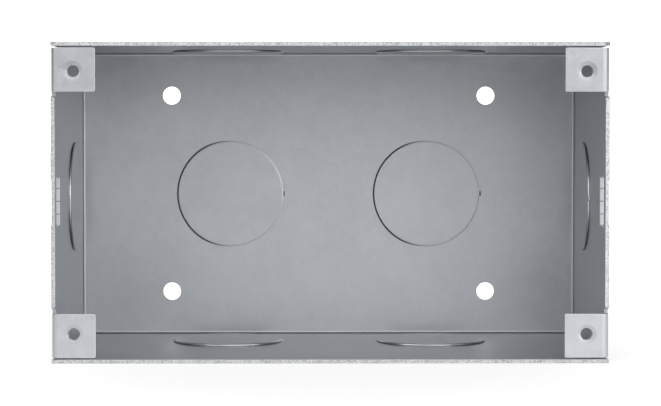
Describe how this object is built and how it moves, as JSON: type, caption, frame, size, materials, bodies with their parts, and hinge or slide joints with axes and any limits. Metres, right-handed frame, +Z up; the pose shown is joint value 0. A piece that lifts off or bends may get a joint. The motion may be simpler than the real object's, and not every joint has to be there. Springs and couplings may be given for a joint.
{
  "type": "metal back box",
  "caption": "Folded sheet-steel back box, open at the front, with corner lugs for the fitting's screws, screw holes in the base, side slots and round knockouts in every wall.",
  "frame": {"origin": "under the middle of the box, on the outer face of its lower long wall", "axes": "+X along the long walls, +Y from the open front to the base that goes against the wall, +Z up, as the box is fitted"},
  "size_m": [0.131, 0.063, 0.0755],
  "materials": {
    "galvanised_steel": "bright galvanised sheet with sheared edges"
  },
  "bodies": {
    "root": {"back_box": "galvanised_steel"}
  },
  "joints": []
}
